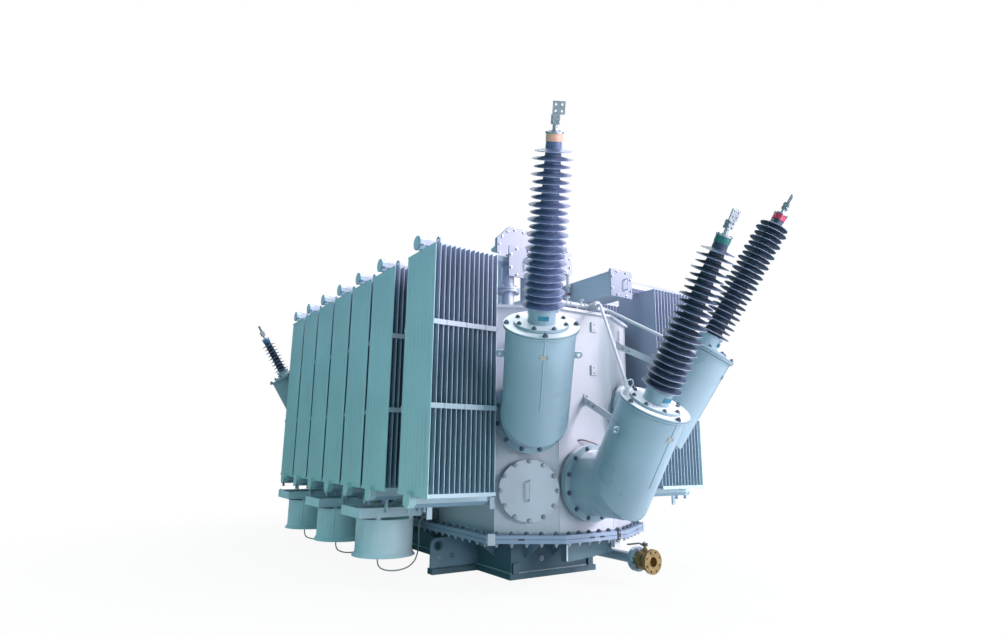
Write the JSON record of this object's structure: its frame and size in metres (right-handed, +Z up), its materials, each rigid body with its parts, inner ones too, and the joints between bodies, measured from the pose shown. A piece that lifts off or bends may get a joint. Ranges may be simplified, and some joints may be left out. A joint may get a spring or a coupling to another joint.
{
  "type": "power transformer",
  "caption": "Oil-filled power transformer: bell tank with blunt noses, banks of panel radiators with fans beneath, and inclined bushings on mitred turrets.",
  "frame": {"origin": "centre of the base on the ground", "axes": "+Z up, -Y towards the high voltage end, X across the tank"},
  "size_m": [3.8086, 8.0877, 3.3885],
  "materials": {
    "tank_paint": "satin",
    "flange_paint": "satin",
    "base_paint": "satin",
    "radiator_paint": "satin",
    "turret_paint": "satin",
    "box_paint": "satin",
    "fan_paint": "satin",
    "motor_paint": "satin",
    "shed_rubber": "satin",
    "cap_orange": "gloss",
    "cap_green": "gloss",
    "cap_red": "gloss",
    "cap_blue": "gloss",
    "terminal_metal": "satin",
    "valve_brass": "satin",
    "lever_steel": "satin",
    "cable_rubber": "matte"
  },
  "bodies": {
    "transformer": {"base_plate": "base_paint", "bell_tank": "tank_paint", "box_covers": "box_paint", "cable_boxes": "motor_paint", "drain_pipe": "turret_paint", "drain_valve": "valve_brass", "duct": "box_paint", "fan_cable_1": "cable_rubber", "fan_cable_2": "cable_rubber", "fan_cable_3": "cable_rubber", "fan_drums": "fan_paint", "fan_frames": "fan_paint", "fan_motors": "motor_paint", "flange_box": "base_paint", "flange_gussets": "base_paint", "gas_pipes": "tank_paint", "haulage_plates": "base_paint", "hv_bushing_a": "shed_rubber", "hv_bushing_b": "shed_rubber", "hv_bushing_c": "shed_rubber", "hv_cap_a": "cap_orange", "hv_cap_b": "cap_green", "hv_cap_c": "cap_red", "hv_turret_a": "turret_paint", "hv_turret_b": "turret_paint", "hv_turret_c": "turret_paint", "left_radiator_1": "radiator_paint", "left_radiator_2": "radiator_paint", "left_radiator_3": "radiator_paint", "left_radiator_4": "radiator_paint", "left_radiator_5": "radiator_paint", "left_radiator_6": "radiator_paint", "left_radiator_7": "radiator_paint", "low_pipes": "radiator_paint", "lower_flange": "flange_paint", "lower_tank": "base_paint", "manhole_covers": "tank_paint", "rear_bushings": "shed_rubber", "rear_caps": "cap_blue", "rear_turrets": "turret_paint", "right_radiator_1": "radiator_paint", "right_radiator_2": "radiator_paint", "right_radiator_3": "radiator_paint", "right_radiator_4": "radiator_paint", "right_radiator_5": "radiator_paint", "right_radiator_6": "radiator_paint", "right_radiator_7": "radiator_paint", "side_box": "box_paint", "tank_cover": "tank_paint", "terminals": "terminal_metal", "top_box": "box_paint", "top_pipes": "radiator_paint", "turret_stays": "tank_paint", "upper_flange": "flange_paint", "wall_flanges": "turret_paint"},
    "lever": {"valve_lever": "lever_steel"}
  },
  "joints": [
    {"name": "lever_turn", "type": "hinge", "parent": "transformer", "child": "lever", "pos_m": [0.371, -2.954, 0.32], "axis": [0, 0, 1], "range_deg": [0, 90]}
  ]
}
